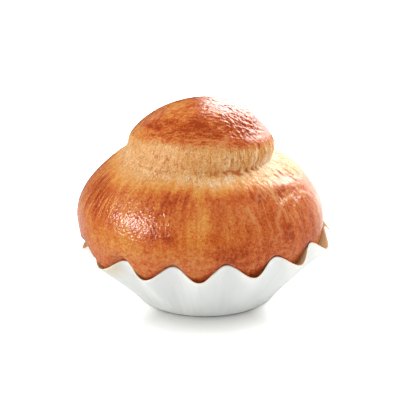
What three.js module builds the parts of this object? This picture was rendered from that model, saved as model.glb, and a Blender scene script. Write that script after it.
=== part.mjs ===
// Brioche a tete: a small enriched bun with a topknot, baked and served in a fluted paper case.
// Units are millimetres and +Z is up. The origin is the centre of the case's flat underside.
// Azimuth is measured from the front (-Y) towards the right (+X).
import * as THREE from "three";

// Driving dimensions of the paper case
const PAPER = 0.4; // thickness of the paper
const FLAT_RADIUS = 24.2; // flat disc of the underside
const HEEL_RADIUS = 2.6; // bend between the flat bottom and the flared wall
const RIM_RADIUS = 44.8;
const RIM_HEIGHT = 22.7;
const FLUTES = 14;
const FLUTE_SPREAD = 1.5; // how far a ridge stands outside the mean rim
const FLUTE_DROP = 2.3; // how far a ridge lies below the mean rim
const FLUTE_FADE = 1.4; // how fast the flutes die out towards the heel
const FLUTE_PHASE = -0.13; // azimuth of the front ridge

// Uneven handwork as waves round the axis: repeats per turn, size and starting azimuth.
const FLUTE_DRIFT = [[1, 0.8, 1.45], [2, 1.03, 0.58], [3, 0.32, -1.86]]; // radians of flute phase
const RIM_SWELL = [[1, 0.6, 0]];
const RIM_LIFT = [[1, 2.6, -0.43]]; // higher on the right, where the bun leans away from the paper

// Driving dimensions of the bun, with the lengths of its outline's curve handles
const BUN_SHIFT = -2; // the bun sits left of the middle of its case
const FOOT = { radius: 20.5, heelRadius: 24, heelHeight: 3 };
const SIDE = { radius: 42, height: 17.8, handle: 3.9 };
const BODY = { radius: 45.4, height: 30.4, below: 5.8, above: 11.2 }; // widest ring
const CREASE = { radius: 26.8, height: 54, slopeOut: 9.2, slopeDown: 5.2 }; // foot of the head
const HEAD = { radius: 26.7, height: 57.2, top: 73.4, sideHandle: 7, crownHandle: 13 };
const CROWN_LEAN = 1.4; // sideways drift of the head's crown
const LEAN_FROM = 45; // height where the drift starts
const CREASE_DEPTH = { deepest: 2.2, deepestAt: 0.9, above: 2, below: 1.2 };
const CREASE_TILT = { waves: [[1, -0.9, 0], [1, -1, -1.57]], reach: 7 }; // the head sinks to the front right
const SWELLING = [[2, 0.45, -0.9]]; // uneven rise of the dough
const SHOULDER_BULGE = { size: 1.5, height: 49.5, reach: 4 }; // fuller shoulder on the right
const DOME_SLOPE = { size: -2, height: 65, reach: 4 }; // steeper dome on the right

const CLEARANCE = 0.42; // resting gap between dough and paper
const PRESS_ROUNDING = 1.6; // rounding where the dough bulges past a fold of the paper
const OVERHANG = 1.3; // outward growth of the dough per millimetre above the rim

// Facets
const SEGMENTS = FLUTES * 8;
const WALL_ROWS = 8;
const HEEL_ROWS = 3;
const BUN_ROWS = [2, 6, 5, 8, 3, 9]; // along foot, side, belly, shoulder, neck and dome

const { lerp, smoothstep } = THREE.MathUtils;

const crustBrown = new THREE.MeshStandardMaterial({ color: "#c8733a", roughness: 0.45, metalness: 0 });
const whitePaper = new THREE.MeshStandardMaterial({ color: "#e9e9e4", roughness: 0.8, metalness: 0 });

const azimuths = Array.from({ length: SEGMENTS }, (_, i) => (2 * Math.PI * i) / SEGMENTS);
const around = (radius, azimuth, height) =>
  new THREE.Vector3(radius * Math.sin(azimuth), -radius * Math.cos(azimuth), height);

const waves = (azimuth, list) =>
  list.reduce((sum, [repeats, size, from]) => sum + size * Math.sin(repeats * azimuth - from), 0);

// Closed surface from a bottom pole, rings of equal length and a top pole, with its faces pointing out.
function closedSkin(firstPole, rings, lastPole) {
  const points = [firstPole, ...rings.flat(), lastPole];
  const last = points.length - 1;
  const at = (ring, i) => 1 + ring * SEGMENTS + (i % SEGMENTS);
  const faces = [];
  for (let i = 0; i < SEGMENTS; i++) {
    faces.push(0, at(0, i + 1), at(0, i));
    faces.push(last, at(rings.length - 1, i), at(rings.length - 1, i + 1));
    for (let ring = 0; ring + 1 < rings.length; ring++) {
      faces.push(at(ring, i), at(ring, i + 1), at(ring + 1, i + 1));
      faces.push(at(ring, i), at(ring + 1, i + 1), at(ring + 1, i));
    }
  }
  return new THREE.BufferGeometry().setFromPoints(points).setIndex(faces);
}

// The paper wall is a cone with flutes that grow from nothing at the heel to full depth at the rim.
const wallTilt = Math.atan2(RIM_HEIGHT, RIM_RADIUS - FLAT_RADIUS - HEEL_RADIUS / 2);
const wallFoot = {
  radius: FLAT_RADIUS + HEEL_RADIUS * Math.sin(wallTilt),
  height: PAPER / 2 + HEEL_RADIUS * (1 - Math.cos(wallTilt)),
};

const fluteWave = (azimuth) => Math.cos(FLUTES * (azimuth - FLUTE_PHASE) + waves(azimuth, FLUTE_DRIFT));

// Middle of the paper at a share of the way up the wall, from the heel at 0 to the rim at 1.
function wallMiddle(azimuth, share) {
  const flute = fluteWave(azimuth) * share ** FLUTE_FADE;
  const rimRadius = RIM_RADIUS + waves(azimuth, RIM_SWELL);
  const rimHeight = RIM_HEIGHT + waves(azimuth, RIM_LIFT);
  return {
    radius: lerp(wallFoot.radius, rimRadius, share) + FLUTE_SPREAD * flute,
    height: lerp(wallFoot.height, rimHeight, share) - FLUTE_DROP * flute,
  };
}

function wallPoint(azimuth, share) {
  const { radius, height } = wallMiddle(azimuth, share);
  return around(radius, azimuth, height);
}

// Unit vector through the paper, from its outside to its inside.
function wallNormal(azimuth, share) {
  const step = 1e-3;
  const across = wallPoint(azimuth + step, share).sub(wallPoint(azimuth - step, share));
  const up = wallPoint(azimuth, share + step).sub(wallPoint(azimuth, Math.max(share - step, 0)));
  return up.cross(across).normalize();
}

// One skin of the case from the flat disc to the rim, half a thickness inside (+1) or outside (-1).
function caseSkin(side) {
  const offset = (side * PAPER) / 2;
  const rings = [azimuths.map((a) => around(FLAT_RADIUS, a, PAPER / 2 + offset))];
  for (let row = 1; row < HEEL_ROWS; row++) {
    const turn = (wallTilt * row) / HEEL_ROWS;
    const bend = HEEL_RADIUS - offset;
    const height = PAPER / 2 + HEEL_RADIUS - bend * Math.cos(turn);
    rings.push(azimuths.map((a) => around(FLAT_RADIUS + bend * Math.sin(turn), a, height)));
  }
  for (let row = 0; row <= WALL_ROWS; row++) {
    const share = row / WALL_ROWS;
    rings.push(azimuths.map((a) => wallPoint(a, share).addScaledVector(wallNormal(a, share), offset)));
  }
  return { centre: new THREE.Vector3(0, 0, PAPER / 2 + offset), rings };
}

function paperCase() {
  const outside = caseSkin(-1);
  const inside = caseSkin(1);
  return closedSkin(outside.centre, [...outside.rings, ...inside.rings.reverse()], inside.centre);
}

// Room that the paper leaves for the dough at a height, as a radius from the case's axis.
function roomInCase(azimuth, height) {
  let low = 0;
  let high = 1;
  for (let i = 0; i < 24; i++) {
    const middle = (low + high) / 2;
    if (wallMiddle(azimuth, middle).height < height) low = middle;
    else high = middle;
  }
  const edge = wallMiddle(azimuth, high);
  const aboveRim = Math.max(height - edge.height, 0);
  const wallGap = (PAPER / 2 + CLEARANCE) / Math.sin(wallTilt);
  return edge.radius - wallGap + OVERHANG * aboveRim;
}

function smoothMin(a, b, rounding) {
  const near = Math.max(rounding - Math.abs(a - b), 0) / rounding;
  return Math.min(a, b) - (near * near * rounding) / 4;
}

// Outline of the bun as radius and height, from the edge of its flat bottom to the crown.
function bunOutline() {
  const bottom = PAPER + CLEARANCE;
  const outline = new THREE.Path();
  outline.moveTo(FOOT.radius, bottom);
  outline.quadraticCurveTo(FOOT.heelRadius - FOOT.heelHeight / 2, bottom, FOOT.heelRadius, FOOT.heelHeight);
  outline.lineTo(SIDE.radius, SIDE.height);
  outline.bezierCurveTo(
    SIDE.radius + SIDE.handle * Math.cos(wallTilt), SIDE.height + SIDE.handle * Math.sin(wallTilt),
    BODY.radius, BODY.height - BODY.below,
    BODY.radius, BODY.height,
  );
  outline.bezierCurveTo(
    BODY.radius, BODY.height + BODY.above,
    CREASE.radius + CREASE.slopeOut, CREASE.height - CREASE.slopeDown,
    CREASE.radius, CREASE.height,
  );
  outline.quadraticCurveTo(HEAD.radius, lerp(CREASE.height, HEAD.height, 0.3), HEAD.radius, HEAD.height);
  outline.bezierCurveTo(HEAD.radius, HEAD.height + HEAD.sideHandle, HEAD.crownHandle, HEAD.top, 0, HEAD.top);
  return outline;
}

// Rings of the outline, without the crown itself.
function bunProfile() {
  const stretches = bunOutline().curves.map((curve, i) => curve.getSpacedPoints(BUN_ROWS[i]).slice(0, -1));
  return stretches.flat();
}

// The crease round the head fades out at the back left and is deepest at the front right.
function creaseAt(azimuth, height) {
  const { deepest, deepestAt, above, below } = CREASE_DEPTH;
  const facing = (1 + Math.cos(azimuth - deepestAt)) / 2;
  const away = (height - CREASE.height) / (height > CREASE.height ? above : below);
  return deepest * facing ** 2 * Math.exp(-away * away);
}

// Extra radius at a height, full on the right and nothing on the left.
function onTheRight(azimuth, height, { size, height: middle, reach }) {
  const facing = (1 + Math.sin(azimuth)) / 2;
  const away = (height - middle) / reach;
  return size * facing * Math.exp(-away * away);
}

function bunPoint(azimuth, { x: radius, y: height }) {
  let swelling = waves(azimuth, SWELLING) * smoothstep(height, SIDE.height, BODY.height);
  swelling += onTheRight(azimuth, height, SHOULDER_BULGE) + onTheRight(azimuth, height, DOME_SLOPE);
  const own = radius - creaseAt(azimuth, height) + swelling * smoothstep(radius, 0, HEAD.radius);
  const point = around(own, azimuth, height);
  point.x += BUN_SHIFT * smoothstep(height, FOOT.heelHeight, SIDE.height);
  point.x += CROWN_LEAN * smoothstep(height, LEAN_FROM, HEAD.top);
  const fromCrease = (height - CREASE.height) / CREASE_TILT.reach;
  point.z += waves(azimuth, CREASE_TILT.waves) * Math.exp(-fromCrease * fromCrease);
  return pressedIn(point);
}

// The paper dents the soft dough wherever the free shape would reach through it.
function pressedIn(point) {
  const azimuth = Math.atan2(point.x, -point.y);
  const free = Math.hypot(point.x, point.y);
  return around(smoothMin(free, roomInCase(azimuth, point.z), PRESS_ROUNDING), azimuth, point.z);
}

function bun() {
  const rings = bunProfile().map((ring) => azimuths.map((azimuth) => bunPoint(azimuth, ring)));
  const bottom = new THREE.Vector3(0, 0, PAPER + CLEARANCE);
  const crown = new THREE.Vector3(BUN_SHIFT + CROWN_LEAN, 0, HEAD.top);
  return closedSkin(bottom, rings, crown);
}

function named(name, geometry, material) {
  const mesh = new THREE.Mesh(geometry, material);
  mesh.name = name;
  return mesh;
}

const brioche = new THREE.Group();
brioche.add(named("brioche", bun(), crustBrown));
brioche.add(named("paper_case", paperCase(), whitePaper));

export default brioche;
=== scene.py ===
"""Brioche a tete in a fluted paper case: the dressed model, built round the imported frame."""
import math
from collections import namedtuple
from functools import partialmethod
from types import SimpleNamespace

import bpy
import numpy as np
from bpy.props import FloatProperty, FloatVectorProperty, IntProperty, PointerProperty
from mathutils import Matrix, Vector, noise


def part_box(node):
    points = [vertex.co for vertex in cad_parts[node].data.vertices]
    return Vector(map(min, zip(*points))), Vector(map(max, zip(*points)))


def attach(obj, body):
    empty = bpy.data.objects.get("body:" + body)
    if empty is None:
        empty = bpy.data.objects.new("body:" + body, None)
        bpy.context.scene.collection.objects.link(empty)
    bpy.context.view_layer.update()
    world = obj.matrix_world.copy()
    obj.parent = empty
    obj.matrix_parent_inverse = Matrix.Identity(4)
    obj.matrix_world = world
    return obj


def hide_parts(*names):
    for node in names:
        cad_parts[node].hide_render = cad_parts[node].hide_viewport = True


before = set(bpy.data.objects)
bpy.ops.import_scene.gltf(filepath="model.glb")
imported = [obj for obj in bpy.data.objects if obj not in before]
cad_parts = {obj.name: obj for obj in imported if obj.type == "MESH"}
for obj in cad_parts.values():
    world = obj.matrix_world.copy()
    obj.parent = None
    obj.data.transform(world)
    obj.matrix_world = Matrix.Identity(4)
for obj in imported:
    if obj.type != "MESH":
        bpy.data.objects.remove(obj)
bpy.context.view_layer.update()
BUN_LOW, BUN_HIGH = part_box("brioche")

bl_info = {
    "name": "Brioche a tete",
    "version": (1, 0, 0),
    "blender": (4, 5, 0),
    "location": "View3D > Sidebar > Brioche",
    "description": "Builds a glazed brioche with a topknot in its fluted paper case",
    "category": "Add Mesh",
}

MM = 0.001

# Unevenness as waves round the axis: repeats per turn, size and starting azimuth.
FLUTE_DRIFT = ((1, 0.8, 1.45), (2, 1.03, 0.58), (3, 0.32, -1.86))
RIM_SWELL = ((1, 0.6 * MM, 0.0),)
RIM_LIFT = ((1, 2.6 * MM, -0.43),)
CREASE_TILT = ((1, -0.9 * MM, 0.0), (1, -1.0 * MM, -1.57))
SWELLING = ((2, 0.45 * MM, -0.9),)
CAP_LINE = ((1, 0.9 * MM, -1.92), (2, 0.4 * MM, -2.27))

Mark = namedtuple("Mark", "azimuth height width tall tone")

# Places where the browning stands out, in degrees and millimetres: darker for a tone above zero.
MARKS = [Mark(*row) for row in (
    (-64, 44.5, 7, 5, 0.06), (-44, 47.2, 2, 1.6, 0.2), (-19, 45, 2.4, 4, 0.11),
    (-10, 46.8, 8, 4, 0.09), (-15, 36, 6, 2, 0.2), (5, 36, 4, 2, 0.1),
    (9, 31, 7, 2.4, 0.16), (20, 31, 9, 5, 0.15), (22, 47.5, 7, 2, 0.15),
    (34, 48.2, 3, 2, 0.15), (49, 48, 4, 2, 0.12), (42, 35, 3, 3, 0.2),
    (57, 41, 6, 6, 0.12), (1, 41, 3.6, 10, -0.23), (10, 43, 1.2, 5, -0.08),
    (-38, 31, 14, 5, -0.2), (-60, 65.5, 3, 0.9, 0.3), (-46, 65.8, 2.6, 0.9, 0.3),
    (-20, 66.6, 2.4, 1.1, 0.22), (-4, 67, 2.2, 1.4, 0.24), (35, 38, 22, 10, 0.07),
    (-40, 46, 11, 4, -0.14), (-84, 51, 12, 5, -0.2), (84, 41, 15, 14, -0.24),
)]
# Dark places in the pale dough of the shoulder.
TEARS = (
    Mark(46.5, 48.2, 3.4, 1.4, 0.17), Mark(44, 45.4, 1.5, 1.3, 0.12), Mark(61, 45.2, 1.6, 0.9, 0.2),
    Mark(33, 50, 1.6, 1, 0.16), Mark(32, 46.6, 1.6, 1.4, 0.14),
)
# Broad tints of the crease and the shoulder, with the width in degrees. The tint at 60 degrees lightens the
# foot of the neck on the right: partly paler unbaked dough, partly painted light that lifts the shade under
# the head.
TINTS = (
    Mark(60, 55, 36, 2.2, -0.2), Mark(2, 52, 26, 1.6, -0.065), Mark(-58, 51.5, 20, 2, 0.04),
    Mark(68, 51, 15, 3, 0.12), Mark(-74, 55, 24, 3.2, -0.08),
)
# Places where the dough stands back from the paper on the left: tone is the depth, all at one radius.
STAND_BACK = (Mark(-88, 21.5, 9, 4.5, 3.4), Mark(-60, 18, 3.8, 2.8, 2))
STAND_BACK_RADIUS = 44

# Pale lines where the crust tore as the dough rose: width, then azimuth and height of each bend.
VEINS = (
    (0.6, (43, 51), (41, 47.6), (39, 46)),
    (0.6, (42, 41.7), (42, 38.3)),
    (0.7, (53, 44.8), (44, 44.3), (41, 43.4), (40, 42), (36, 39.8), (36, 36.9), (37, 35.5)),
    (0.5, (52, 43.8), (53, 41.3)),
    (0.5, (23, 44.7), (24, 41.7), (24, 40.1)),
    (0.6, (70, 40.2), (69, 34.2)),
    (0.7, (59, 45.3), (68, 42)),
)
# Dark lines where the pale dough is drawn over the edge of the shoulder.
SCORES = (
    (0.6, (67.5, 51.7), (67.5, 49.8)),
    (0.4, (62, 50.6), (63, 49.6), (65, 47.6)),
    (0.6, (59.5, 51.6), (59, 51)),
    (0.45, (53, 51.7), (53, 50.7)),
    (0.4, (76, 50.6), (74, 48.4)),
)

# Sizes that change in soft sectors round the axis: azimuth and width in degrees, then the size.
CREASE_FILL = ((-36, 46, 2.4 * MM), (58, 42, 1.1 * MM))
SHOULDER_DIPS = ((-47, 19, -2.4), (-88, 20, 0.4), (50, 20, -0.4), (79, 14, -3.4), (6, 12, -1.0))
STRETCHED = ((-62, 25, 1.0), (64, 18, 0.3), (170, 60, 0.7))
VEINED = ((42, 20, 1.0), (8, 12, 0.15), (-150, 40, 0.7))

# Heights of the zones' edges in millimetres, and how far each zone is baked.
SHOULDER_EDGE, CAP_EDGE, CAP_MARKS_FROM = 51.3, 60.6, 62
BODY_BAKE, GOLDEN_BAKE, DOUGH_BAKE, CAP_BAKE = 0.68, 0.4, 0.265, 0.57

# Axes of the wrinkles on the right of the cap: along the first one they run down to the right.
WRINKLE_AXES = np.array(((0.83, 0.0, -0.56), (0.0, 1.0, 0.0), (0.56, 0.0, 0.83))).T

# Handles of the curves of the bun's outline, from the paper up to the crown, and its least radii.
SIDE_HANDLE = 3.9 * MM
BELOW_BODY, ABOVE_BODY = 5.8 * MM, 11.2 * MM
SHOULDER_OUT, SHOULDER_DOWN = 9.2 * MM, 5.2 * MM
DOME_HANDLE, CROWN_HANDLE = 7 * MM, 13 * MM
POLE_RADIUS, LEAST_RADIUS = 0.2 * MM, 0.05 * MM

# Unevenness of the bun: depth of the crease and where it is deepest, its reach, and the lopsided rise.
CREASE_DEPTH, CREASE_DEEPEST = 2.2 * MM, 0.9
CREASE_ABOVE, CREASE_BELOW, TILT_REACH = 2 * MM, 1.2 * MM, 7 * MM
BULGE_HEIGHT, SLOPE_HEIGHT, UNEVEN_REACH = 49.5 * MM, 65 * MM, 4 * MM
# Rounding where the dough meets a fold of the paper, and its growth outwards above the rim.
PRESS_ROUNDING, OVERHANG = 1.6 * MM, 1.3

# Inputs of the shared noise. Each pattern gives what it follows, its stretch by axis, then these numbers.
MOTTLE_INPUTS = ("Scale", "Detail", "Low", "High")
CRUST_PATTERNS = dict(
    lines=("skin", (1, 1, 0.08), 1250, 1, 0.47, 0.65),
    ribs=("skin", (1, 1, 0.16), 620, 1.2, 0.47, 0.64),
    blotches=("skin", (1, 1, 0.32), 300, 3, 0.36, 0.64),
    vein_cloud=("skin", (1, 1, 0.4), 290, 2, 0, 1),
    crack_cloud=("skin", (1, 1, 0.45), 420, 1, 0, 1),
    crack_patches=("spot", None, 330, 1, 0.4, 0.58),
    pebbles=("spot", None, 1050, 2, 0.34, 0.66),
    blisters=("spot", None, 1100, 0.6, 0.3, 0.7),
    grain=("spot", None, 2300, 1, 0.3, 0.7),
    crumbs=("spot", (1, 1, 0.6), 1250, 2, 0.44, 0.68),
    freckles=("spot", (1, 1, 1.4), 620, 2.5, 0.36, 0.66),
    glaze=("spot", (0.28, 1, 1.2), 1250, 2, 0.34, 0.66),
    smears=("spot", (0.6, 0.6, 1.6), 330, 2, 0.36, 0.64),
)
PAPER_PATTERNS = dict(
    cloud=("spot", None, 60, 3, 0.3, 0.7),
    fibre=("spot", None, 1600, 2, 0.3, 0.7),
    folds=("skin", (1, 1, 0.08), 190, 3, 0.35, 0.65),
)
# Numbers that the bun's mesh stores for its material.
CRUST_LAYERS = ("bake", "cap", "pale", "stretch", "veined", "scarred", "matte")

Lamp = namedtuple("Lamp", "name azimuth elevation wide tall power shines")

# Soft lights round the bun, in degrees, metres and watts: some only shine on the glaze, the rest never do.
LAMPS = (
    Lamp("Back fill", 146, 34, 0.45, 0.48, 3.2, False),
    Lamp("Left fill", -75, 7, 0.5, 0.14, 1.4, False),
    Lamp("Back left fill", -140, 18, 0.45, 0.4, 0.9, False),
    Lamp("Softbox", -66, 24, 0.17, 0.23, 2.8, True),
    Lamp("Softbox above", -98, 38, 0.2, 0.14, 0.2, True),
    Lamp("Softbox below", -50, 18, 0.12, 0.12, 0.28, True),
)

# Butter stain on the outside of the paper, on the case's own coordinates.
STAIN_PLACE = (-33 * MM, -30 * MM, 22 * MM)
STAIN_REACH = (1 * MM, 7 * MM)

# Parts of the case's rows that the bottom and the heel take, and the crinkles of its wall.
FLAT_PART, HEEL_PART = 0.15, 0.12
CRINKLE_SCALE, CRINKLE_DEPTH = 90.0, 0.5 * MM
# Fineness of the meshes: the bun's rows go by the stretches of its outline.
CASE_SEGMENTS, CASE_ROWS, CASE_WELD = 14 * 24, 64, 0.01 * MM
BUN_SEGMENTS = 400
BUN_ROWS = (2, 3, 6, 26, 70, 34, 104)
# Size of the floor and reach of the contact shadow on it.
FLOOR_RADIUS, SHADOW_REACH = 30.0, 34 * MM


def number(name, description, value, **kind):
    """A number property."""
    return FloatProperty(name=name, description=description, default=value, **kind)


def length(name, description, millimetres):
    """A length property whose default is given in millimetres."""
    return number(name, description, millimetres * MM, subtype="DISTANCE", unit="LENGTH", precision=5)


def angle(name, description, radians):
    """An angle property."""
    return number(name, description, radians, subtype="ANGLE")


def colour(name, description, display):
    """A colour property whose default is a display colour of 0 to 255."""
    share = np.array(display) / 255
    linear = np.where(share <= 0.04045, share / 12.92, ((share + 0.055) / 1.055) ** 2.4)
    return FloatVectorProperty(name=name, description=description, default=tuple(linear.tolist()),
                               subtype="COLOR", size=3, min=0, max=1)


class CaseSizes(bpy.types.PropertyGroup):
    """Sizes of the fluted paper case."""

    flutes: IntProperty(name="Flutes", description="Number of flutes round the rim", default=14)
    flat_radius: length("Flat radius", "Radius of the flat underside", 24.2)
    heel_radius: length("Heel radius", "Bend between the flat bottom and the wall", 2.6)
    wall_tilt: angle("Wall tilt", "Slope of the wall at the heel", 0.866)
    rim_radius: length("Rim radius", "Mean radius of the rim", 44.8)
    rim_height: length("Rim height", "Mean height of the rim", 22.7)
    flute_spread: length("Flute spread", "How far a ridge stands outside the mean rim", 1.5)
    flute_drop: length("Flute drop", "How far a ridge lies below the mean rim", 2.3)
    flute_fade: number("Flute fade", "How fast the flutes die out downwards", 1.4)
    flute_phase: angle("Flute phase", "Azimuth of the front ridge", -0.13)
    paper: length("Paper", "Thickness of the paper", 0.4)


class BunSizes(bpy.types.PropertyGroup):
    """Sizes of the bun."""

    foot_radius: length("Foot radius", "Flat underside of the dough", 20.5)
    heel_radius: length("Heel radius", "Radius at the top of the rounded foot", 24)
    heel_height: length("Heel height", "Height of the rounded foot", 3)
    side_radius: length("Side radius", "Radius where the side leaves the paper", 42)
    side_height: length("Side height", "Height where the side leaves the paper", 17.8)
    body_radius: length("Body radius", "Radius of the widest ring", 45.4)
    body_height: length("Body height", "Height of the widest ring", 30.4)
    crease_radius: length("Crease radius", "Radius at the foot of the head", 26.8)
    crease_height: length("Crease height", "Height of the foot of the head", 54)
    head_radius: length("Head radius", "Widest radius of the head", 26.7)
    head_height: length("Head height", "Height of the head's widest ring", 57.2)
    crown_height: length("Crown height", "Top of the head", BUN_HIGH[2] / MM)
    foot_height: length("Foot height", "Underside of the dough", BUN_LOW[2] / MM)
    shift: length("Shift", "Sideways place of the bun in its case", -2)
    lean: length("Lean", "Sideways drift of the crown", 1.4)
    lean_from: length("Lean from", "Height where the drift starts", 45)
    shoulder_bulge: length("Shoulder bulge", "Radius gained on the right of the shoulder", 1.5)
    dome_slope: length("Dome slope", "Radius lost on the right of the dome", 2)
    clearance: length("Clearance", "Resting gap between dough and paper", 0.42)


class Finishes(bpy.types.PropertyGroup):
    """Browning of the dough from pale to dark, and the colours of the paper and the floor."""

    cream: colour("Cream", "Palest crumbs of the stretched dough", (239, 215, 181))
    pale: colour("Pale dough", "Stretched dough that the glaze missed", (224, 177, 122))
    blond: colour("Blond", "Palest lines in the browned crust", (230, 168, 101))
    golden: colour("Golden", "Lightly browned crust", (214, 145, 62))
    amber: colour("Amber", "Well browned crust", (203, 121, 51))
    brown: colour("Brown", "Deep crust", (192, 91, 34))
    dark: colour("Dark", "Darkest crust", (155, 57, 16))
    rosy: colour("Rosy", "Lightest flecks of the glazed cap", (208, 136, 84))
    paper: colour("Paper", "Outside of the paper", (245, 246, 240))
    soaked: colour("Soaked paper", "Inside of the paper, tanned by butter", (224, 186, 148))
    cut: colour("Cut edge", "Edge of the paper", (248, 226, 196))
    stain: colour("Stain", "Butter that soaked through the paper", (222, 202, 168))
    floor: colour("Floor", "Studio floor", (246, 246, 246))


class StageSettings(bpy.types.PropertyGroup):
    """Camera and lights."""

    distance: length("Camera distance", "From the camera to the point it looks at", 350)
    elevation: angle("Camera elevation", "Angle of the camera above the floor", math.radians(17.7))
    lens: number("Lens", "Focal length in millimetres", 85.75)
    aim_height: length("Aim height", "Height of that point", 35.3)
    lamp_distance: length("Lamp distance", "From the lamps to the same point", 700)
    overhead: number("Overhead", "Light from above", 1.38)
    surround: number("Surround", "Light from the sides", 0.55)
    front: number("Front", "Light from behind the camera", 0.2)
    right: number("Right", "Light added from the right", 0.2)
    mirrored: number("Mirrored", "Share of the surroundings in gloss", 0.05)
    window: number("Window", "Brightness of the window in gloss", 14.0)
    left_glow: number("Left glow", "Brightness of the back left in gloss", 0.32)
    bright_side: number("Bright side", "Brightness of the right in gloss", 0.8)
    floor_gain: number("Floor gain", "Brightness of the seen floor", 1.7)
    floor_mirrored: number("Floor mirrored", "Share of the floor in gloss", 0.36)


class Field:
    """A number in a node tree that takes part in plain arithmetic."""

    def __init__(self, tree, socket):
        self.tree = tree
        self.socket = socket

    def apply(self, operation, *others):
        """Result of a math node that takes this number first."""
        inputs = dict(enumerate((self, *others)))
        return field(self.tree, "ShaderNodeMath", "Value", inputs, operation=operation)

    __add__ = __radd__ = partialmethod(apply, "ADD")
    __sub__ = partialmethod(apply, "SUBTRACT")
    __mul__ = __rmul__ = partialmethod(apply, "MULTIPLY")
    __truediv__ = partialmethod(apply, "DIVIDE")
    __pow__ = partialmethod(apply, "POWER")
    absolute = partialmethod(apply, "ABSOLUTE")

    def __rsub__(self, other):
        return self.apply("MULTIPLY_ADD", -1.0, other)

    def clamped(self):
        held = self + 0.0
        held.socket.node.use_clamp = True
        return held

    def eased(self, low, high):
        """Smooth step from 0 at low to 1 at high."""
        inputs = {"Value": self, "From Min": low, "From Max": high}
        return field(self.tree, "ShaderNodeMapRange", "Result", inputs, interpolation_type="SMOOTHSTEP")

    def between(self, rise, fall):
        """Smooth rise over one range and fall over another."""
        return self.eased(*rise) * (1 - self.eased(*fall))


def connect(tree, value, socket):
    """Feeds a socket from a field, another socket or a plain value."""
    if isinstance(value, Field):
        value = value.socket
    if isinstance(value, bpy.types.NodeSocket):
        tree.links.new(value, socket)
    else:
        socket.default_value = value


def feed(tree, node, inputs):
    """Feeds a node's inputs by name or number."""
    for name, value in inputs.items():
        connect(tree, value, node.inputs[name])


def add_node(tree, kind, inputs=None, **settings):
    """Adds a node, sets its properties and feeds its inputs."""
    node = tree.nodes.new(kind)
    for name, value in settings.items():
        setattr(node, name, value)
    feed(tree, node, inputs or {})
    return node


def field(tree, kind, output, inputs=None, **settings):
    """Number from an output of a new node."""
    return Field(tree, add_node(tree, kind, inputs, **settings).outputs[output])


def axes(tree, vector, names):
    """Numbers of a vector along the named axes."""
    node = add_node(tree, "ShaderNodeSeparateXYZ", {0: vector})
    return [Field(tree, node.outputs[name]) for name in names]


def sine(value):
    """Sine of a field or an array."""
    return value.apply("SINE") if isinstance(value, Field) else np.sin(value)


def cosine(value):
    """Cosine of a field or an array."""
    return sine(value + math.pi / 2)


def waves(azimuth, parts):
    """Sum of waves round the axis."""
    return sum(size * sine(repeats * azimuth - start) for repeats, size, start in parts)


def case_profile(case, azimuth, flat_share, heel_share, wall_share):
    """Radius and height of the middle of the paper, as arrays or fields: the flutes grow from heel to rim."""
    flute = cosine(case.flutes * (azimuth - case.flute_phase) + waves(azimuth, FLUTE_DRIFT))
    flute = flute * wall_share ** case.flute_fade
    foot_radius = case.flat_radius + case.heel_radius * sine(case.wall_tilt)
    foot_height = case.paper / 2 + case.heel_radius * (1 - cosine(case.wall_tilt))
    rim_radius = case.rim_radius + waves(azimuth, RIM_SWELL)
    rim_height = case.rim_height + waves(azimuth, RIM_LIFT)
    radius = case.flat_radius * flat_share + case.heel_radius * sine(case.wall_tilt * heel_share)
    radius = radius + (rim_radius - foot_radius) * wall_share + case.flute_spread * flute
    height = case.paper / 2 + case.heel_radius * (1 - cosine(case.wall_tilt * heel_share))
    height = height + (rim_height - foot_height) * wall_share - case.flute_drop * flute
    return radius, height


def attribute(tree, name):
    """Number stored on the mesh."""
    return field(tree, "ShaderNodeAttribute", "Fac", attribute_name=name)


def passed(tree, kind, geometry, **inputs):
    """Passes a geometry through a node."""
    return add_node(tree, kind, {0: geometry, **inputs}).outputs[0]


def stored(tree, geometry, name, value, **settings):
    """Stores a value on a geometry by name."""
    node = add_node(tree, "GeometryNodeStoreNamedAttribute", {"Geometry": geometry, "Name": name}, **settings)
    connect(tree, value, next(socket for socket in node.inputs if socket.name == "Value" and socket.enabled))
    return node.outputs["Geometry"]


def upright(tree, azimuth, radius, height):
    """Vector to a place at an azimuth, a radius and a height."""
    return add_node(tree, "ShaderNodeCombineXYZ", {
        "X": radius * sine(azimuth), "Y": radius * cosine(azimuth) * -1.0, "Z": height}).outputs["Vector"]


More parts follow.
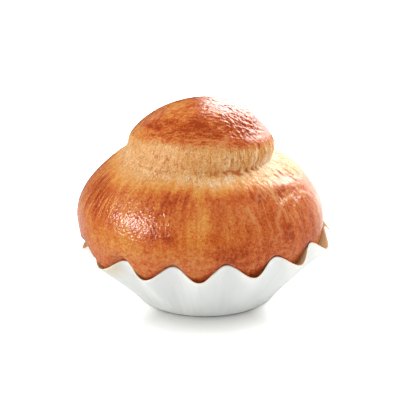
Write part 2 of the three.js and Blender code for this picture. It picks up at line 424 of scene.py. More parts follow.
def case_tree(case, material):
    """Geometry Nodes tree of the paper case, with an input for each of its sizes."""
    tree = bpy.data.node_groups.new("Fluted paper case", "GeometryNodeTree")
    tree.interface.new_socket("Geometry", in_out="OUTPUT", socket_type="NodeSocketGeometry")
    labels = {name: case.bl_rna.properties[name].name for name in CaseSizes.__annotations__}
    for label in labels.values():
        tree.interface.new_socket(label, in_out="INPUT", socket_type="NodeSocketFloat")
    given = tree.nodes.new("NodeGroupInput")
    sizes = SimpleNamespace(**{name: Field(tree, given.outputs[label]) for name, label in labels.items()})

    grid = add_node(tree, "GeometryNodeMeshGrid", {
        "Size X": 2 * math.pi, "Size Y": 1.0, "Vertices X": CASE_SEGMENTS + 1, "Vertices Y": CASE_ROWS})
    position = tree.nodes.new("GeometryNodeInputPosition").outputs["Position"]
    azimuth, along = axes(tree, position, "XY")
    along += 0.5
    flat_share = (along / FLAT_PART).clamped()
    heel_share = ((along - FLAT_PART) / HEEL_PART).clamped()
    wall_share = ((along - FLAT_PART - HEEL_PART) / (1 - FLAT_PART - HEEL_PART)).clamped()
    radius, height = case_profile(sizes, azimuth, flat_share, heel_share, wall_share)
    wrapped = upright(tree, azimuth, radius, height)
    skin = upright(tree, azimuth, sizes.rim_radius, sizes.rim_height * wall_share)
    sheet = stored(tree, grid.outputs["Mesh"], "climb", wall_share)
    sheet = stored(tree, sheet, "skin", skin, data_type="FLOAT_VECTOR")
    sheet = passed(tree, "GeometryNodeSetPosition", sheet, Position=wrapped)
    sheet = passed(tree, "GeometryNodeMergeByDistance", sheet, Distance=CASE_WELD)

    normal = tree.nodes.new("GeometryNodeInputNormal").outputs["Normal"]
    climb = field(tree, "GeometryNodeInputNamedAttribute", "Attribute", {"Name": "climb"}, data_type="FLOAT")
    crinkle = field(tree, "ShaderNodeTexNoise", "Fac", {"Scale": CRINKLE_SCALE, "Detail": 2.0})
    inward = (crinkle - 0.5) * climb * CRINKLE_DEPTH - sizes.paper / 2
    offset = add_node(tree, "ShaderNodeVectorMath", {0: normal, "Scale": inward}, operation="SCALE")
    inner = passed(tree, "GeometryNodeSetPosition", sheet, Offset=offset.outputs["Vector"])
    raised = add_node(tree, "GeometryNodeExtrudeMesh", {
        "Mesh": inner, "Offset Scale": sizes.paper, "Individual": False}, mode="FACES")
    outer = stored(tree, raised.outputs["Mesh"], "cut_edge", raised.outputs["Side"], domain="FACE")
    backing = stored(tree, inner, "inside", 1.0, domain="FACE")
    both = tree.nodes.new("GeometryNodeJoinGeometry")
    for side in (outer, passed(tree, "GeometryNodeFlipFaces", backing)):
        connect(tree, side, both.inputs[0])
    paper = passed(tree, "GeometryNodeMergeByDistance", both.outputs[0], Distance=CASE_WELD)
    paper = passed(tree, "GeometryNodeSetShadeSmooth", paper)
    paper = passed(tree, "GeometryNodeRealizeInstances", paper)
    paper = passed(tree, "GeometryNodeSetMaterial", paper, Material=material)
    add_node(tree, "NodeGroupOutput", {"Geometry": paper})
    return tree


def new_object(name, data):
    """Links a mesh, light or camera into the scene."""
    made = bpy.data.objects.new(name, data)
    bpy.context.scene.collection.objects.link(made)
    return made


def settle(piece, node):
    """Lets a piece stand for a node of the frame."""
    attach(piece, "root")
    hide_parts(node)


def mottle_group():
    """Soft patches between 0 and 1, shared by crust and paper."""
    name = "Mottle"
    if name in bpy.data.node_groups:
        return bpy.data.node_groups[name]
    tree = bpy.data.node_groups.new(name, "ShaderNodeTree")
    tree.interface.new_socket("Vector", in_out="INPUT", socket_type="NodeSocketVector")
    for label in MOTTLE_INPUTS:
        tree.interface.new_socket(label, in_out="INPUT", socket_type="NodeSocketFloat")
    tree.interface.new_socket("Mask", in_out="OUTPUT", socket_type="NodeSocketFloat")
    given = tree.nodes.new("NodeGroupInput").outputs
    cloud = add_node(tree, "ShaderNodeTexNoise", {
        label: given[label] for label in ("Vector", "Scale", "Detail")})
    spread = add_node(tree, "ShaderNodeMapRange", {
        "Value": cloud.outputs["Fac"], "From Min": given["Low"], "From Max": given["High"]})
    add_node(tree, "NodeGroupOutput", {"Mask": spread.outputs["Result"]})
    return tree


def patterns(tree, table):
    """Patterns of a table in a material, by name, and the coordinates that they follow."""
    placed = {"spot": add_node(tree, "ShaderNodeTexCoord").outputs["Object"],
              "skin": add_node(tree, "ShaderNodeAttribute", attribute_name="skin").outputs["Vector"]}
    for name, (follows, stretch, *numbers) in table.items():
        vector = placed[follows]
        if stretch:
            mapping = add_node(tree, "ShaderNodeMapping", {"Vector": vector, "Scale": stretch})
            vector = mapping.outputs["Vector"]
        inputs = {"Vector": vector, **dict(zip(MOTTLE_INPUTS, numbers))}
        placed[name] = field(tree, "ShaderNodeGroup", "Mask", inputs, node_tree=mottle_group())
    return SimpleNamespace(**placed)


def ridges(cloud, width):
    """Thin lines where a cloud crosses its middle."""
    return (1 - (cloud - 0.5).absolute() / width).clamped()


def dress(tree, shader, relief, inputs):
    """Feeds a shader, with a relief in millimetres as its bump."""
    bump = add_node(tree, "ShaderNodeBump", {"Height": relief, "Distance": MM, "Strength": 1.0})
    feed(tree, shader, {"Normal": bump.outputs["Normal"], **inputs})


def blend(tree, share, first, second):
    """Mix of two colours, each a socket or a plain colour."""
    node = add_node(tree, "ShaderNodeMix", {"Factor": share}, data_type="RGBA")
    inputs = [socket for socket in node.inputs if socket.type == "RGBA"]
    for socket, value in zip(inputs, (first, second)):
        connect(tree, value if isinstance(value, bpy.types.NodeSocket) else (*value, 1.0), socket)
    return next(socket for socket in node.outputs if socket.type == "RGBA")


def ramp(tree, value, stops):
    """Colour along a line of stops."""
    node = add_node(tree, "ShaderNodeValToRGB", {"Fac": value})
    elements = node.color_ramp.elements
    while len(elements) < len(stops):
        elements.new(0.5)
    for element, (place, shade) in zip(elements, stops):
        element.position = place
        element.color = (*shade, 1.0)
    return node.outputs["Color"]


def new_material(name):
    """Material with an empty Principled shader."""
    material = bpy.data.materials.new(name)
    material.use_nodes = True
    return material, material.node_tree, material.node_tree.nodes["Principled BSDF"]


def crust_material(finishes):
    """Glazed crust: baking tone with painted light and shade, stored on the mesh and broken up by stretch
    marks, veins, freckles and blisters.
    """
    material, tree, shader = new_material("Glazed crust")
    noises = patterns(tree, CRUST_PATTERNS)
    bake, cap, pale, stretch, veined, scarred, matte = (attribute(tree, name) for name in CRUST_LAYERS)
    sideways, climb = (along / MM for along in axes(tree, noises.spot, "XZ"))
    body = (1 - cap) * (1 - pale)
    lively = body * (0.75 + 0.25 * climb.eased(26, 38))
    low_down = body * (1 - climb.eased(28, 38))
    rightwards = sideways.eased(-14, 8)
    to_middle = sideways.eased(-32, -18)
    streaks = noises.lines + (noises.ribs - noises.lines) * to_middle
    veins = ridges(noises.vein_cloud, 0.06) * veined
    cracks = ridges(noises.crack_cloud, 0.035) * pale * noises.crack_patches

    tone = bake + (0.25 - streaks) * stretch * 0.48 - veins * 0.12 + cracks * 0.32
    tone += (noises.grain - 0.5) * (0.3 + cap * 0.12)
    for pattern, middle, share in (
            (noises.pebbles, 0.5, lively * 0.22), (noises.blotches, 0.5, lively * 0.2),
            (noises.freckles, 0.45, low_down * -0.26), (noises.crumbs, 0.4, pale * 0.13),
            (noises.smears, 0.5, cap * 0.3), (noises.glaze, 0.5, cap * 0.4)):
        tone += (pattern - middle) * share
    browned = ((0.34, finishes.golden), (0.5, finishes.amber), (0.74, finishes.brown), (1.0, finishes.dark))
    crust = ramp(tree, tone, ((0.0, finishes.blond), *browned))
    dough = ramp(tree, tone, ((0.0, finishes.cream), (0.16, finishes.pale), *browned))
    rosy = ramp(tree, tone, ((0.34, finishes.rosy), *browned[2:]))
    rosy_share = cap * (0.25 + 0.75 * rightwards) + 0.75 * (1 - climb.eased(25, 34))
    rosy_share += 0.85 * sideways.eased(6, 24) * (1 - 0.8 * matte)
    toned = blend(tree, pale, blend(tree, rosy_share.clamped(), crust, rosy), dough)
    scars = (scarred + veins * 0.7).clamped() * (0.1 + 0.3 * noises.pebbles + 0.2 * climb.eased(41, 47))

    # The torn patch on the right is tilted down, away from the window.
    relief = streaks * stretch * (0.08 - 0.05 * to_middle) + matte * (climb - 48) * 0.19
    relief += noises.blisters * body * (1 - 0.75 * rightwards) * 0.115
    relief += (noises.pebbles * 0.055 - noises.crumbs * 0.05) * pale
    relief += noises.grain * (0.01 + cap * 0.015) + noises.glaze * cap * 0.05
    relief += veins * (1 - 0.8 * matte) * 0.08 - cracks * 0.16
    dress(tree, shader, relief, {
        "Base Color": blend(tree, scars, toned, finishes.pale),
        "Roughness": 0.2 - cap * 0.04 + pale * 0.3 + matte * 0.06, "Specular IOR Level": 0.5})
    return material


def paper_material(finishes):
    """White greaseproof paper, tanned inside by butter and along its cut edge."""
    material, tree, shader = new_material("Greaseproof paper")
    noises = patterns(tree, PAPER_PATTERNS)
    inside, cut_edge, climb = (attribute(tree, name) for name in ("inside", "cut_edge", "climb"))
    # The paper greys in soft random clouds, its own tone, and along the folds, where the grey is painted
    # shade of the folds.
    greyed_and_fold_shade = tuple(0.9 * value for value in finishes.paper)
    outer = blend(tree, noises.cloud * 0.35 + noises.folds * 0.5, finishes.paper, greyed_and_fold_shade)
    ends = {0: noises.skin, 1: STAIN_PLACE}
    stained = 1 - field(tree, "ShaderNodeVectorMath", "Value", ends, operation="DISTANCE").eased(*STAIN_REACH)
    outer = blend(tree, stained * (0.3 + noises.cloud * 0.5), outer, finishes.stain)
    tanned = inside * (1.1 - climb.eased(0.75, 1.0) * 0.3 - noises.cloud * 0.2)
    toned = blend(tree, tanned.clamped(), outer, finishes.soaked)
    dress(tree, shader, noises.fibre * 0.02 + noises.cloud * 0.2 + noises.folds * 0.25, {
        "Base Color": blend(tree, (cut_edge * 0.8).clamped(), toned, finishes.cut),
        "Roughness": 0.62, "Specular IOR Level": 0.3, "Subsurface Weight": 0.7,
        "Subsurface Radius": (1.0, 0.9, 0.8), "Subsurface Scale": 1.2 * MM})
    return material


def smooth(value, low, high):
    """Smooth step from 0 at low to 1 at high."""
    share = np.clip((value - low) / (high - low), 0, 1)
    return share * share * (3 - 2 * share)


def noise_at(points, cell, seed):
    """Smooth noise of about -1 to 1 at an array of points, with cells in millimetres."""
    moved = points.reshape(-1, 3) / (np.array(cell) * MM) + seed * np.array([7.3, 3.1, 5.7])
    values = np.fromiter((noise.noise(point) for point in moved), float, len(moved))
    return values.reshape(points.shape[:-1])


def run_along(curve):
    """Distance along a curve to each of its points."""
    return np.concatenate([[0], np.cumsum(np.linalg.norm(np.diff(curve, axis=0), axis=1))])


def bezier(points, count):
    """Evenly spaced points on a curve with the given control points."""
    curve = np.array(points)[:, None]
    share = np.linspace(0, 1, 200)[:, None]
    while len(curve) > 1:
        curve = curve[:-1] * (1 - share) + curve[1:] * share
    run = run_along(curve[0])
    even = np.linspace(0, run[-1], count + 1)
    return np.stack([np.interp(even, run, values) for values in curve[0].T], axis=1)


def bun_outline(bun, case):
    """Radius and height along the bun, from the centre of its underside to just below the crown."""
    foot, heel, side, body, crease, head = (
        (getattr(bun, f"{name}_radius"), getattr(bun, f"{name}_height"))
        for name in ("foot", "heel", "side", "body", "crease", "head"))
    crown = (0.0, bun.crown_height)
    along_wall = (side[0] + SIDE_HANDLE * math.cos(case.wall_tilt),
                  side[1] + SIDE_HANDLE * math.sin(case.wall_tilt))
    shoulder = (crease[0] + SHOULDER_OUT, crease[1] - SHOULDER_DOWN)
    stretches = (
        ((POLE_RADIUS, foot[1]), foot),
        (foot, (heel[0] - heel[1] / 2, foot[1]), heel),
        (heel, side),
        (side, along_wall, (body[0], body[1] - BELOW_BODY), body),
        (body, (body[0], body[1] + ABOVE_BODY), shoulder, crease),
        (crease, (head[0], crease[1] + 0.3 * (head[1] - crease[1])), head),
        (head, (head[0], head[1] + DOME_HANDLE), (CROWN_HANDLE, crown[1]), crown),
    )
    return np.concatenate([bezier(points, count)[:-1] for points, count in zip(stretches, BUN_ROWS)])


def room_in_case(case, bun, azimuth, height):
    """Radius that the paper leaves free for the dough."""
    low, high = np.zeros_like(height), np.ones_like(height)
    for _ in range(24):
        middle = (low + high) / 2
        below = case_profile(case, azimuth, 1, 1, middle)[1] < height
        low, high = np.where(below, middle, low), np.where(below, high, middle)
    radius, edge = case_profile(case, azimuth, 1, 1, high)
    wall_gap = (case.paper / 2 + bun.clearance) / math.sin(case.wall_tilt)
    return radius - wall_gap + OVERHANG * np.maximum(height - edge, 0)


def smooth_min(first, second, rounding):
    """Lower of two values, rounded where they cross."""
    near = np.maximum(rounding - np.abs(first - second), 0) / rounding
    return np.minimum(first, second) - near * near * rounding / 4


def bun_surface(bun, case):
    """Points of the bun without its fine relief, with the azimuth, height and run of each."""
    outline = bun_outline(bun, case)
    turn = np.arange(BUN_SEGMENTS) * 2 * math.pi / BUN_SEGMENTS
    azimuth, radius = np.meshgrid(turn, outline[:, 0])
    height = np.repeat(outline[:, 1:], BUN_SEGMENTS, axis=1)
    run = np.repeat(run_along(outline)[:, None], BUN_SEGMENTS, axis=1)

    depth = CREASE_DEPTH * ((1 + np.cos(azimuth - CREASE_DEEPEST)) / 2) ** 2 - sectors(azimuth, CREASE_FILL)
    crease_reach = np.where(height > bun.crease_height, CREASE_ABOVE, CREASE_BELOW)
    radius = radius - depth * band(height, bun.crease_height, crease_reach)
    swell = waves(azimuth, SWELLING) * smooth(height, bun.side_height, bun.body_height)
    uneven = bun.shoulder_bulge * band(height, BULGE_HEIGHT, UNEVEN_REACH)
    uneven -= bun.dome_slope * band(height, SLOPE_HEIGHT, UNEVEN_REACH)
    swell += uneven * (1 + np.sin(azimuth)) / 2
    radius = np.maximum(radius + swell * smooth(radius, 0, bun.head_radius), LEAST_RADIUS)
    x = radius * np.sin(azimuth) + bun.shift * smooth(height, bun.heel_height, bun.side_height)
    x = x + bun.lean * smooth(height, bun.lean_from, bun.crown_height)
    y = -radius * np.cos(azimuth)
    z = height + waves(azimuth, CREASE_TILT) * band(height, bun.crease_height, TILT_REACH)
    free = np.hypot(x, y)
    room = room_in_case(case, bun, np.arctan2(x, -y), z)
    held = smooth_min(free, room, PRESS_ROUNDING) / np.maximum(free, 1e-9)
    points = np.stack([x * held, y * held, z], axis=-1)
    return SimpleNamespace(points=points, azimuth=azimuth, height=height, run=run)


def grid_normals(points):
    """Outward normals of a grid that closes on itself sideways."""
    across = np.roll(points, -1, axis=1) - np.roll(points, 1, axis=1)
    up = np.gradient(points, axis=0)
    normal = np.cross(across, up)
    return normal / np.maximum(np.linalg.norm(normal, axis=-1, keepdims=True), 1e-12)


def apart(azimuth, degrees):
    """Degrees from a place round the axis, between -180 and 180."""
    return (np.degrees(azimuth) - degrees + 180) % 360 - 180


def sector(azimuth, degrees, width):
    """Soft sector round the axis, 1 at its middle."""
    return np.exp(-(apart(azimuth, degrees) / width) ** 2)


def sectors(azimuth, parts):
    """Sum of soft sectors round the axis, each with its size."""
    return sum(size * sector(azimuth, degrees, width) for degrees, width, size in parts)


def band(value, middle, reach):
    """Soft band of a value, 1 at its middle."""
    return np.exp(-((value - middle) / reach) ** 2)


def spots(marks, azimuth, height, radius, sideways=0.0, upwards=0.0):
    """Sum of soft marks at a radius in millimetres, with outlines bent sideways and upwards."""
    total = np.zeros_like(height)
    for mark in marks:
        across = np.radians(apart(azimuth, mark.azimuth)) * radius / mark.width
        up = (height - mark.height) / mark.tall
        total += mark.tone * np.exp(-(across + sideways) ** 2 - (up + upwards) ** 2)
    return total


def drawn_lines(veins, azimuth, height, reach, wobble):
    """Lines from bend to bend, 1 along the middle, in millimetres."""
    lines = np.zeros_like(height)
    for width, *bends in veins:
        for (turn, low), (next_turn, next_low) in zip(bends, bends[1:]):
            across = np.radians(apart(azimuth, turn)) * reach + wobble
            up = height - low
            span = np.array([math.radians(next_turn - turn) * reach, next_low - low])
            share = np.clip((across * span[0] + up * span[1]) / (span @ span), 0, 1)
            off = np.hypot(across - share * span[0], up - share * span[1])
            lines = np.maximum(lines, band(off, 0, width))
    return lines


def crust_zones(bun, surface):
    """Zones of the crust: the glazed cap, the pale stretched dough with its tears, and the stretch marks."""
    azimuth, height = surface.azimuth, surface.height / MM
    reach = bun.body_radius
    skin = np.stack([reach * np.sin(azimuth), -reach * np.cos(azimuth), surface.run], axis=-1)
    wide = noise_at(surface.points, 10, 1)
    ragged = noise_at(surface.points, 2.6, 2)
    fine = noise_at(surface.points, 1.3, 3)
    right = sector(azimuth, 50, 42)

    pleats = noise_at(skin, (2.3, 2.3, 22), 4)
    over_edge = height - CAP_EDGE - waves(azimuth, CAP_LINE) / MM + 0.5 * wide + 0.4 * ragged + 0.4 * fine
    cap = smooth(over_edge + 1.2 * pleats * right, -1.1, 1.5)
    fingers = noise_at(skin, (2.4, 2.4, 16), 14)
    shoulder = height - SHOULDER_EDGE - sectors(azimuth, SHOULDER_DIPS)
    shoulder += 0.6 * wide + 0.5 * ragged + 0.3 * fine + 1.3 * fingers
    pale = smooth(shoulder, -2, 2.7) * (1 - cap)
    golden = smooth(shoulder, -4.2 + 1.2 * sector(azimuth, -85, 25), 0.5) * (1 - cap)

    collar = smooth(height, 53.4, 54.6) * (1 - smooth(height, 60, 62))
    broken = smooth(noise_at(skin, (2.3, 2.3, 6), 12), -0.4, 0.1)
    # Gaps between the neck's pleats: cut deeper in the relief and darkened with painted shade.
    shaded_gaps = band(pleats, 0, 0.2) * collar * broken * (0.1 + 0.9 * right)
    torn_and_shaded = band(height + 0.8 * ragged, bun.crease_height / MM, 0.8) * smooth(fine + 0.5 * ragged, -0.25, 0.35)
    lines, scores = (drawn_lines(drawn, azimuth, height, reach / MM, 0.4 * ragged)
                     for drawn in (VEINS, SCORES))
    matte = sector(azimuth, 48, 15) * band(height, 47.6, 3.4)

    stretch = sectors(azimuth, STRETCHED) * smooth(height, 34, 41)
    stretch += 0.5 * sector(azimuth, -13, 16) * smooth(height, 29, 38)
    stretch = np.clip(stretch * (1 - golden), 0, 1)
    hatch = sector(azimuth, 66, 16) * smooth(height, 45, 48) * (1 - smooth(height, 51.5, 53.5))
    stretch = np.maximum(stretch, 0.12 * hatch) * (1 - cap)
    veined = np.clip(sectors(azimuth, VEINED), 0, 1)
    veined = veined * smooth(height, 29, 34) * (1 - cap) * (1 - 0.7 * pale)
    return SimpleNamespace(
        skin=skin, wide=wide, ragged=ragged, fine=fine, right=right, over_edge=over_edge,
        cap=cap, pale=pale, golden=golden, shaded_gaps=shaded_gaps, torn_and_shaded=torn_and_shaded, lines=lines, scores=scores,
        stretch=stretch, veined=veined, scarred=lines * (1 - 0.6 * pale), matte=matte)


def browning_and_painted_light(bun, case, surface, zones):
    """How far each place is baked, from 0 for the palest dough to 1 for the darkest crust, with painted shade
    in the pleat gaps, the crease and above the paper rim, and painted light at the foot of the neck on the
    right.
    """
    azimuth, height = surface.azimuth, surface.height / MM
    ragged, right = zones.ragged, zones.right
    bent = (0.5 * zones.wide, 0.5 * ragged)
    tone = BODY_BAKE + 0.1 * noise_at(zones.skin, (14, 14, 20), 5) + 0.04 * smooth(height, 33, 44)
    tone += spots(MARKS, azimuth, height, bun.body_radius / MM, *bent) * (height < CAP_MARKS_FROM)
    tone -= 0.1 * zones.lines
    tone += (GOLDEN_BAKE - tone) * zones.golden
    dough = DOUGH_BAKE + (0.035 + 0.035 * right) * smooth(height, 53.5, 55.5)
    dough -= (0.2 - 0.04 * smooth(height, 52, 54.5)) * right
    dough += 0.05 * noise_at(surface.points, 5, 10) + 0.035 * ragged
    tone += (dough - tone) * zones.pale
    # Darker in the gaps between the neck's pleats: painted shade. Darker along the scored lines: their own
    # colour.
    tone += 0.27 * zones.shaded_gaps + 0.9 * zones.scores * (1 - zones.cap)
    tone += spots(TEARS, azimuth, height, bun.body_radius / MM, 0.6 * ragged, 0.6 * ragged)
    for mark in TINTS:
        tone += mark.tone * band(height, mark.height, mark.tall) * sector(azimuth, mark.azimuth, mark.width)
    # Dark specks under the crease and the torn crease itself: partly dark torn crust, partly painted shade in
    # the crease.
    specks = smooth(zones.fine + 0.5 * ragged, 0.2, 0.5) * band(height, 51.8, 1.3)
    tone += 0.65 * zones.torn_and_shaded * sector(azimuth, 29, 22) + 0.4 * specks * sector(azimuth, 56, 18)

    crown_left = smooth(height, 67, 71) * smooth(-surface.points[..., 0] / MM, -2, 8)
    cap_tone = CAP_BAKE + 0.26 * smooth(zones.over_edge, 0, 4.5) + 0.06 * zones.wide
    cap_tone -= 0.14 * crown_left + 0.18 * sector(azimuth, -75, 35)
    cap_tone += spots(MARKS, azimuth, height, bun.head_radius / MM, *bent) * (height > CAP_MARKS_FROM)
    tone += (cap_tone - tone) * zones.cap
    # Darker just above the paper rim: partly crust baked darker against the paper, partly painted shade of
    # the gap between dough and paper.
    over_rim = height - case_profile(case, azimuth, 1, 1, 1.0)[1] / MM
    tone += 0.17 * (1 - smooth(over_rim, -1.5, 3.5)) + 0.15 * (1 - smooth(over_rim, -0.5, 0.8))
    return np.clip(tone, 0, 1.1)


def crust_relief(surface, zones):
    """Height of the relief over the plain surface."""
    points, azimuth, height = surface.points, surface.azimuth, surface.height / MM
    skin, cap, pale, ragged, fine = zones.skin, zones.cap, zones.pale, zones.ragged, zones.fine
    open_air = smooth(height, 24, 30)
    relief = 0.35 * noise_at(points, 20, 6) * open_air
    relief += 0.1 * noise_at(skin, (2, 2, 12), 7) * zones.stretch
    relief += 0.07 * noise_at(points, 1.7, 8) * open_air * (1 - cap)
    relief += (0.16 * ragged + 0.08 * fine + 0.13 * noise_at(skin, (3.4, 3.4, 8), 11)) * pale
    relief += 0.12 * zones.lines * (1 - 0.7 * zones.matte) - 0.55 * zones.shaded_gaps - 0.35 * zones.scores
    relief -= 0.5 * zones.torn_and_shaded * (0.3 + 0.7 * zones.right) * (0.5 + 0.5 * ragged)
    relief += (0.4 * ragged + 0.15 * fine) * band(height, 52.6, 1.6) * sector(azimuth, 40, 55)
    wrinkled = (0.12 + 0.88 * sector(azimuth, 55, 38)) * (1 - 0.45 * smooth(height, 68.5, 71.5))
    wrinkled += 0.5 * sector(azimuth, 6, 12) * band(height, 65.2, 1.2)
    wrinkled *= smooth(height, 61.5, 64)
    along_wrinkles = points @ WRINKLE_AXES
    relief += 0.34 * noise_at(along_wrinkles, (1.8, 1.1, 1.1), 9) * wrinkled
    relief += 0.29 * noise_at(along_wrinkles, (1.2, 0.7, 0.7), 13) * wrinkled
    relief -= spots(STAND_BACK, azimuth, height, STAND_BACK_RADIUS)
    return relief * MM


def closed_mesh(name, points, bottom, crown):
    """Mesh of a grid that closes on itself sideways, with a pole at each end."""
    rows, columns = points.shape[:2]
    vertices = np.concatenate([bottom[None], points.reshape(-1, 3), crown[None]])
    index = np.arange(rows * columns).reshape(rows, columns) + 1
    ahead = np.roll(index, -1, axis=1)
    quads = np.stack([index[:-1], ahead[:-1], ahead[1:], index[1:]], axis=-1).reshape(-1, 4)
    last = len(vertices) - 1
    fans = [(0, b, a) for a, b in zip(index[0].tolist(), ahead[0].tolist())]
    fans += [(last, a, b) for a, b in zip(index[-1].tolist(), ahead[-1].tolist())]
    mesh = bpy.data.meshes.new(name)
    mesh.from_pydata(vertices.tolist(), [], quads.tolist() + fans)
    mesh.shade_smooth()
    return mesh


def store(mesh, name, values):
    """Keeps one number or vector per point, with the poles taking their neighbours' values."""
    flat = values.reshape(-1, *values.shape[2:])
    padded = np.concatenate([flat[:1], flat, flat[-1:]])
    kind, key = ("FLOAT_VECTOR", "vector") if padded.ndim == 2 else ("FLOAT", "value")
    mesh.attributes.new(name, kind, "POINT").data.foreach_set(key, padded.ravel())


class BRIOCHE_OT_bun(bpy.types.Operator):
    """Build the bun with its head, crease and glazed crust."""

    bl_idname = "brioche.bun"
    bl_label = "Bun"

    def execute(self, context):
        scene = context.scene
        bun, case = scene.brioche_bun, scene.brioche_case
        surface = bun_surface(bun, case)
        zones = crust_zones(bun, surface)
        zones.bake = browning_and_painted_light(bun, case, surface, zones)
        relief = crust_relief(surface, zones)
        points = surface.points + grid_normals(surface.points) * relief[..., None]
        bottom = np.array([0, 0, bun.foot_height])
        crown = points[-1].mean(axis=0)
        mesh = closed_mesh("bun", points, bottom, crown)
        for name in ("skin", *CRUST_LAYERS):
            store(mesh, name, getattr(zones, name))
        mesh.materials.append(crust_material(scene.brioche_finishes))
        settle(new_object("bun", mesh), "brioche")
        return {"FINISHED"}


class BRIOCHE_OT_paper_case(bpy.types.Operator):
    """Build the fluted paper case."""

    bl_idname = "brioche.paper_case"
    bl_label = "Paper case"

    def execute(self, context):
        scene = context.scene
        sizes = scene.brioche_case
        material = paper_material(scene.brioche_finishes)
        tree = case_tree(sizes, material)
        holder = new_object("case_holder", bpy.data.meshes.new("case_holder"))
        modifier = holder.modifiers.new("Case", "NODES")
        modifier.node_group = tree
        for item in tree.interface.items_tree:
            if item.in_out == "INPUT":
                name = item.name.lower().replace(" ", "_")
                modifier[item.identifier] = float(getattr(sizes, name))
        seen = holder.evaluated_get(context.evaluated_depsgraph_get())
        mesh = bpy.data.meshes.new_from_object(seen)
        mesh.name = "fluted_case"
        bpy.data.objects.remove(holder)
        settle(new_object("fluted_case", mesh), "paper_case")
        return {"FINISHED"}


def stand_off(obj, azimuth, elevation, distance, target):
    """Stands a light or the camera off a target, at an azimuth from the front, and faces it."""
    a, e = math.radians(azimuth), math.radians(elevation)
    away = Vector((math.sin(a) * math.cos(e), -math.cos(a) * math.cos(e), math.sin(e)))
    obj.location = Vector(target) + away * distance
    obj.rotation_euler = (Vector(target) - obj.location).to_track_quat("-Z", "Y").to_euler()


def add_light(lamp, distance, target):
    """Rectangular soft light that faces the bun."""
    data = bpy.data.lights.new(lamp.name, "AREA")
    data.shape = "RECTANGLE"
    data.size, data.size_y = lamp.wide, lamp.tall
    data.energy = lamp.power
    light = new_object(lamp.name, data)
    light.visible_camera = False
    light.visible_diffuse = not lamp.shines
    light.visible_glossy = lamp.shines
    stand_off(light, lamp.azimuth, lamp.elevation, distance, target)


def bright_side(turn):
    """Brightness of the surroundings near the floor by turn from the back: most on the right."""
    return turn.between((0.4, 0.75), (1.8, 2.8)) * (1 - 0.7 * turn.eased(0.85, 1.25))


def floor_in_gloss(tree, spot, share):
    """How bright gloss shows the floor: dim far off and at the back, where bright strips cross it."""
    sideways, backwards = (along / MM for along in axes(tree, spot, "XY"))
    turn = sideways.apply("ARCTAN2", backwards)
    away = (sideways * sideways + backwards * backwards) ** 0.5
    from_left = 1 - (sideways / away).eased(-0.8, 0.0)
    near = share * (0.7 + 0.3 * from_left) * (1 - 0.85 * away.eased(70, 150))
    near *= 0.3 + 0.7 * turn.absolute().eased(0.9, 1.6)
    back_right = turn.between((0.0, 0.3), (0.55, 0.85)) * 0.9
    back_left = (turn * -1.0).between((0.25, 0.5), (1.0, 1.35)) * (0.5 - 0.25 * away.eased(150, 260))
    return near + bright_side(turn) * 0.6 + back_right + back_left


def floor_material(scene):
    """Pale studio floor: white where the camera sees it, with a soft contact shadow, and dim in gloss."""
    material, tree, shader = new_material("Studio floor")
    tree.nodes.remove(shader)
    shade = scene.brioche_finishes.floor
    spot = add_node(tree, "ShaderNodeTexCoord").outputs["Object"]
    share = floor_in_gloss(tree, spot, scene.brioche_stage.floor_mirrored)
    mirrored = add_node(tree, "ShaderNodeVectorMath", {0: shade, "Scale": share}, operation="SCALE")

    bright = tuple(value * scene.brioche_stage.floor_gain for value in shade)
    deepest = tuple(0.04 * value for value in bright)
    corner = field(tree, "ShaderNodeAmbientOcclusion", "AO", {"Distance": SHADOW_REACH}, samples=16)
    facing = add_node(tree, "ShaderNodeVectorMath", {0: spot}, operation="NORMALIZE")
    pair = {0: facing.outputs["Vector"], 1: (0, -1, 0)}
    ahead = field(tree, "ShaderNodeVectorMath", "Value", pair, operation="DOT_PRODUCT")
    shadow = (1 - corner ** 0.8) * (0.12 + 0.7 * ahead.eased(0.55, 0.86))

    paths = add_node(tree, "ShaderNodeLightPath").outputs
    plain, in_gloss, seen = (
        add_node(tree, "ShaderNodeBsdfDiffuse", {"Color": value}).outputs["BSDF"]
        for value in ((*shade, 1.0), mirrored.outputs["Vector"], blend(tree, shadow, bright, deepest)))
    lit = add_node(tree, "ShaderNodeMixShader", {0: paths["Is Glossy Ray"], 1: plain, 2: in_gloss})
    mixed = add_node(tree, "ShaderNodeMixShader", {0: paths["Is Camera Ray"], 1: lit.outputs[0], 2: seen})
    feed(tree, tree.nodes["Material Output"], {"Surface": mixed.outputs[0]})
    return material


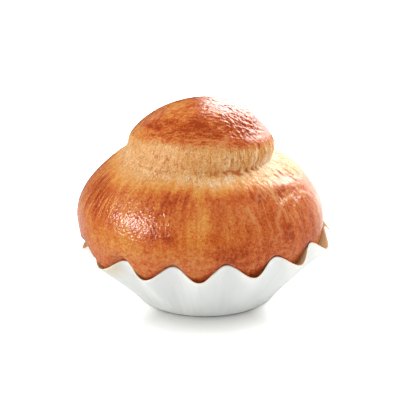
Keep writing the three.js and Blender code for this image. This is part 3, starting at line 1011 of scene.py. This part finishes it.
def studio_world(stage):
    """Soft surroundings, bright overhead. Gloss mirrors a window, a glow on the left and a bright side."""
    world = bpy.data.worlds.new("Studio")
    world.use_nodes = True
    tree = world.node_tree
    direction = add_node(tree, "ShaderNodeTexCoord").outputs["Generated"]
    sideways, backwards, upwards = axes(tree, direction, "XYZ")
    turn = sideways.apply("ARCTAN2", backwards)
    sides = stage.surround + backwards.eased(-0.2, -0.9) * (stage.front - stage.surround)
    strength = sides + upwards.eased(0.15, 0.8) * (stage.overhead - sides)
    strength += sideways.eased(0.1, 0.9) * stage.right

    panes = turn.between((-0.07, 0.11), (0.5, 0.86)) * (1 - upwards.eased(0.7, 0.8))
    beside = turn.between((0.5, 0.8), (0.9, 1.12)) * upwards.between((0.32, 0.48), (0.6, 0.78))
    window = panes * (0.12 + 1.1 * upwards.clamped() ** 1.3) + beside * 0.75
    glow = (turn * -1.0).between((0.15, 0.35), (0.4, 0.65)) * (1 - upwards.eased(0.35, 0.6))
    glow *= 0.35 + 0.65 * upwards.between((0.03, 0.12), (0.25, 0.5))
    low = bright_side(turn) * (1 - upwards.eased(0.05, 0.35))
    bright = window * stage.window + glow * stage.left_glow + low * stage.bright_side
    in_gloss = field(tree, "ShaderNodeLightPath", "Is Glossy Ray")
    strength = strength * (1 - in_gloss * (1 - stage.mirrored)) + in_gloss * bright
    feed(tree, tree.nodes["Background"], {"Strength": strength, "Color": (1, 1, 1, 1)})
    return world


class BRIOCHE_OT_stage(bpy.types.Operator):
    """Set the floor, lights and camera."""

    bl_idname = "brioche.stage"
    bl_label = "Stage"

    def execute(self, context):
        scene = context.scene
        stage = scene.brioche_stage
        aim = (scene.brioche_bun.shift, 0.0, stage.aim_height)
        bpy.ops.mesh.primitive_circle_add(vertices=128, radius=FLOOR_RADIUS, fill_type="NGON")
        floor = context.object
        floor.name = "floor"
        floor.data.materials.append(floor_material(scene))

        scene.world = studio_world(stage)
        for lamp in LAMPS:
            add_light(lamp, stage.lamp_distance, aim)

        camera = new_object("Camera", bpy.data.cameras.new("Camera"))
        camera.data.lens = stage.lens
        camera.data.clip_start = 0.01
        stand_off(camera, 0, math.degrees(stage.elevation), stage.distance, aim)
        scene.camera = camera
        scene.view_settings.view_transform = "Standard"
        return {"FINISHED"}


class BRIOCHE_PT_panel(bpy.types.Panel):
    """Lists the pieces of the brioche."""

    bl_label = "Brioche"
    bl_space_type = "VIEW_3D"
    bl_region_type = "UI"
    bl_category = "Brioche"

    def draw(self, context):
        for operator in OPERATORS:
            self.layout.operator(operator.bl_idname)


GROUPS = {"brioche_case": CaseSizes, "brioche_bun": BunSizes,
          "brioche_finishes": Finishes, "brioche_stage": StageSettings}
OPERATORS = (BRIOCHE_OT_bun, BRIOCHE_OT_paper_case, BRIOCHE_OT_stage)
CLASSES = (*GROUPS.values(), *OPERATORS, BRIOCHE_PT_panel)


def register():
    for cls in CLASSES:
        bpy.utils.register_class(cls)
    for name, group in GROUPS.items():
        setattr(bpy.types.Scene, name, PointerProperty(type=group))


def unregister():
    for name in GROUPS:
        delattr(bpy.types.Scene, name)
    for cls in reversed(CLASSES):
        bpy.utils.unregister_class(cls)


def main():
    register()
    bpy.ops.brioche.bun()
    bpy.ops.brioche.paper_case()
    bpy.ops.brioche.stage()


if __name__ == "__main__":
    main()
